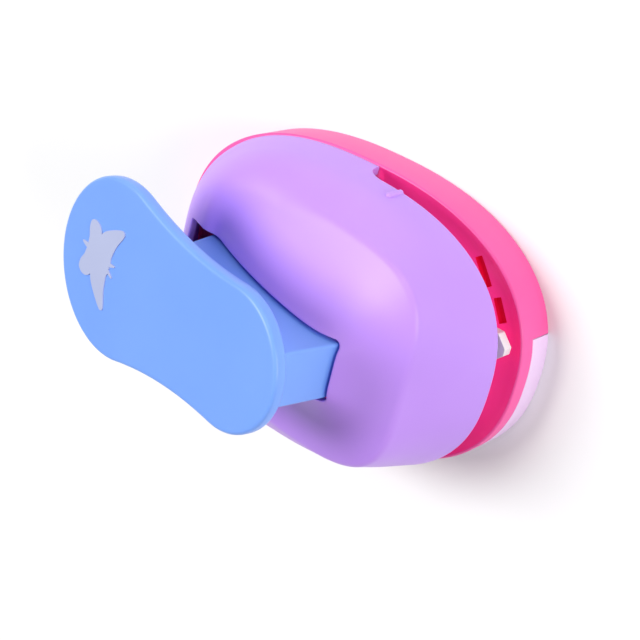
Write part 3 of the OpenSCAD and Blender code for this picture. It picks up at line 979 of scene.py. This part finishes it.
def new_material(name):
    """Material with its nodes, links and shader."""
    material = bpy.data.materials.new(name)
    material.use_nodes = True
    tree = material.node_tree
    return material, tree.nodes, tree.links, tree.nodes["Principled BSDF"]


def noise(tree, links, place, scale, detail):
    """Value of a noise texture at a place."""
    node = tree.new("ShaderNodeTexNoise")
    node.inputs["Scale"].default_value = scale
    node.inputs["Detail"].default_value = detail
    links.new(place, node.inputs["Vector"])
    return node.outputs["Fac"]


def tint(tree, links, shader, value, low, high, band=(0, 1)):
    """Colour that goes from low to high as the value crosses the band."""
    node = tree.new("ShaderNodeValToRGB")
    for element, position, colour in zip(node.color_ramp.elements, band, (low, high)):
        element.position = position
        element.color = colour
    links.new(value, node.inputs["Fac"])
    links.new(node.outputs["Color"], shader.inputs["Base Color"])


def shine(tree, links, shader, value, roughness, change):
    """Roughness that varies with the value."""
    node = tree.new("ShaderNodeMapRange")
    node.inputs["To Min"].default_value = roughness + change[0]
    node.inputs["To Max"].default_value = roughness + change[1]
    links.new(value, node.inputs["Value"])
    links.new(node.outputs["Result"], shader.inputs["Roughness"])


def relief(tree, links, shader, value, strength, depth):
    """Fine relief from the value."""
    node = tree.new("ShaderNodeBump")
    node.inputs["Strength"].default_value = strength
    node.inputs["Distance"].default_value = depth * MM
    links.new(value, node.inputs["Height"])
    links.new(node.outputs["Normal"], shader.inputs["Normal"])


def plastic(name, colour, deep, roughness, grain=GRAIN_SCALE, glow=GLOW):
    """Moulded plastic in a colour and its slightly deeper tone."""
    material, tree, links, shader = new_material(name)
    place = tree.new("ShaderNodeTexCoord").outputs["Object"]
    clouds = noise(tree, links, place, CLOUD_SCALE, CLOUD_DETAIL)
    grains = noise(tree, links, place, grain, GRAIN_DETAIL)
    tint(tree, links, shader, clouds, deep, colour, CLOUD_BAND)
    shine(tree, links, shader, clouds, roughness, PLASTIC_SHINE)
    relief(tree, links, shader, grains, GRAIN_STRENGTH, GRAIN_DEPTH)
    shader.inputs["Specular IOR Level"].default_value = PLASTIC_SPECULAR
    shader.inputs["Subsurface Weight"].default_value = glow
    shader.inputs["Subsurface Radius"].default_value = [length * MM for length in SPREAD]
    shader.inputs["Subsurface Scale"].default_value = 1.0
    return material


def paint_glow(material, colour, strength):
    """Painted glow: emission that stands in for light reaching a shaded face through the plastic behind it."""
    shader = material.node_tree.nodes["Principled BSDF"]
    shader.inputs["Emission Color"].default_value = colour
    shader.inputs["Emission Strength"].default_value = strength


def steel(name, colour, roughness, along=BRUSH_STRETCH, scale=BRUSH_SCALE, metallic=1.0):
    """Steel with fine brushing across it and small differences in shine."""
    material, tree, links, shader = new_material(name)
    stretch = tree.new("ShaderNodeMapping")
    stretch.inputs["Scale"].default_value = along
    links.new(tree.new("ShaderNodeTexCoord").outputs["Object"], stretch.inputs["Vector"])
    streaks = noise(tree, links, stretch.outputs["Vector"], scale, BRUSH_DETAIL)
    tint(tree, links, shader, streaks, [c * BRUSH_DARK for c in colour[:3]] + [1], colour)
    shine(tree, links, shader, streaks, roughness, STEEL_SHINE)
    relief(tree, links, shader, streaks, BRUSH_STRENGTH, BRUSH_DEPTH)
    shader.inputs["Metallic"].default_value = metallic
    return material


def printed(name, colour, deep):
    """Silvery print on the lever, slightly mottled."""
    material = plastic(name, colour, deep, 0.42, grain=7000, glow=0)
    material.node_tree.nodes["Principled BSDF"].inputs["Metallic"].default_value = 0.15
    return material


PURPLE = plastic("purple_plastic", linear(200, 152, 248), linear(196, 147, 246), 0.42)
PINK = plastic("pink_plastic", linear(254, 94, 171), linear(252, 86, 165), 0.4)
# Painted shade and painted glow: a deeper, more saturated copy of the pink plastic for the shaded mouth, with
# an emission that stands in for red light passing through the thin pink walls
MOUTH_PAINTED_SHADE_GLOW = plastic("pink_mouth_painted_shade_glow", linear(255, 60, 150), linear(252, 54, 144), 0.36)
paint_glow(MOUTH_PAINTED_SHADE_GLOW, (1, 0.03, 0.25, 1), 0.32)
# Painted shade and painted glow: a deep red copy of the pink plastic stands in for the shade inside the deck's
# pockets, with a faint emission
POCKET_PAINTED_SHADE_GLOW = plastic("pocket_red_painted_shade_glow", linear(206, 10, 62), linear(198, 6, 56), 0.4)
paint_glow(POCKET_PAINTED_SHADE_GLOW, (1, 0, 0.04, 1), 0.2)
BLUE = plastic("blue_plastic", linear(124, 168, 250), linear(120, 164, 249), 0.36)
PALE = plastic("pale_plastic", linear(244, 214, 250), linear(241, 209, 248), 0.4)
PRINT = printed("silver_print", linear(190, 198, 232), linear(184, 192, 228))
NYLON = plastic("white_nylon_plastic", linear(238, 238, 230), linear(232, 232, 224), 0.5)
BRIGHT = steel("plated_steel", linear(252, 248, 252), 0.42, metallic=0.45)
ZINC = steel("zinc_plate", linear(206, 208, 214), 0.34, (1, 1, 1), 900)
WIRE = steel("spring_wire", linear(176, 178, 184), 0.28, (8, 8, 30), 700)


WELD_GAP = 0.002


def dress(node, material, edge):
    """New material and softened edges for a CAD node that stays."""
    piece = nodes[node]
    for slot in piece.material_slots:
        slot.material = material
    if not piece.material_slots:
        piece.data.materials.append(material)
    weld = piece.modifiers.new("weld", "WELD")
    weld.merge_threshold = WELD_GAP * MM
    rounder = piece.modifiers.new("edge", "BEVEL")
    rounder.width = edge * MM
    rounder.segments = 2
    rounder.limit_method = "ANGLE"
    rounder.angle_limit = math.radians(40)
    rounder.harden_normals = True


# CAD nodes that stay, each with its material and the width of its softened edges
DRESSED = (
    ("die_plate", BRIGHT, 0.12), ("throat_spacer", BRIGHT, 0.1), ("guide_frame", BRIGHT, 0.15),
    ("punch_head", BRIGHT, 0.08), ("lever_pin", ZINC, 0.08), ("pin_clip_left", WIRE, 0.05),
    ("pin_clip_right", WIRE, 0.05), ("pivot_washers", ZINC, 0.05), ("frame_rivets", ZINC, 0.08),
    ("die_screws", ZINC, 0.08), ("housing_screws", ZINC, 0.08), ("spring_seat", ZINC, 0.05),
    ("punch_cap", NYLON, 0.2), ("cap_screw", ZINC, 0.08), ("thrust_plate", ZINC, 0.1),
)


# ---------------------------------------------------------------- scene

def look_matrix(azimuth, elevation, roll, aim, distance):
    """Camera place and turn from the direction that it looks from."""
    az, el, ro = (math.radians(v) for v in (azimuth, elevation, roll))
    back = Vector((math.cos(el) * math.cos(az), math.cos(el) * math.sin(az), math.sin(el)))
    level_right = Vector((-math.sin(az), math.cos(az), 0))
    level_up = back.cross(level_right)
    up = math.cos(ro) * level_up + math.sin(ro) * level_right
    right = up.cross(back)
    turn = Matrix((right, up, back)).transposed().to_4x4()
    return Matrix.Translation(Vector(aim) * MM + back * distance * MM) @ turn


def add_camera():
    """Camera at the photo's place."""
    data = bpy.data.cameras.new("camera")
    data.lens = LENS
    data.sensor_width = SENSOR
    data.clip_start = CLIP_START * MM
    camera = bpy.data.objects.new("camera", data)
    camera.matrix_world = look_matrix(
        CAMERA_AZIMUTH, CAMERA_ELEVATION, CAMERA_ROLL, CAMERA_AIM, CAMERA_DISTANCE
    )
    bpy.context.scene.collection.objects.link(camera)
    bpy.context.scene.camera = camera


def add_light(name, azimuth, elevation, distance, size, power):
    """Round soft light, turned to the part."""
    data = bpy.data.lights.new(name, "AREA")
    data.shape = "DISK"
    data.size = size * MM
    data.energy = power
    light = bpy.data.objects.new(name, data)
    light.matrix_world = look_matrix(azimuth, elevation, 0, LIGHT_AIM, distance)
    bpy.context.scene.collection.objects.link(light)


def add_floor():
    """Plain pale floor."""
    half = FLOOR_HALF * MM
    corners = [(-half, -half, 0), (half, -half, 0), (half, half, 0), (-half, half, 0)]
    mesh = bpy.data.meshes.new("floor")
    mesh.from_pydata(corners, [], [(0, 1, 2, 3)])
    floor = bpy.data.objects.new("floor", mesh)
    material, _, _, shader = new_material("pale_floor")
    shader.inputs["Base Color"].default_value = (FLOOR_TINT, FLOOR_TINT, FLOOR_TINT, 1)
    shader.inputs["Roughness"].default_value = 0.8
    shader.inputs["Specular IOR Level"].default_value = 0.1
    mesh.materials.append(material)
    bpy.context.scene.collection.objects.link(floor)


def add_world():
    """Even white light from all round."""
    world = bpy.data.worlds.new("studio")
    world.use_nodes = True
    world.node_tree.nodes["Background"].inputs["Color"].default_value = (1, 1, 1, 1)
    world.node_tree.nodes["Background"].inputs["Strength"].default_value = WORLD_STRENGTH
    bpy.context.scene.world = world


add_camera()
add_world()
add_floor()
for light in LIGHTS:
    add_light(*light)
bpy.context.scene.view_settings.view_transform = "Standard"

upper_shell(PURPLE)
shell_tick(PURPLE)
shell_posts(PURPLE)
base_shell(PINK, MOUTH_PAINTED_SHADE_GLOW, POCKET_PAINTED_SHADE_GLOW)
chip_tray(PALE)
lever(BLUE)
mark(PRINT)
return_spring(WIRE)
for node_name, finish, edge_width in DRESSED:
    dress(node_name, finish, edge_width)
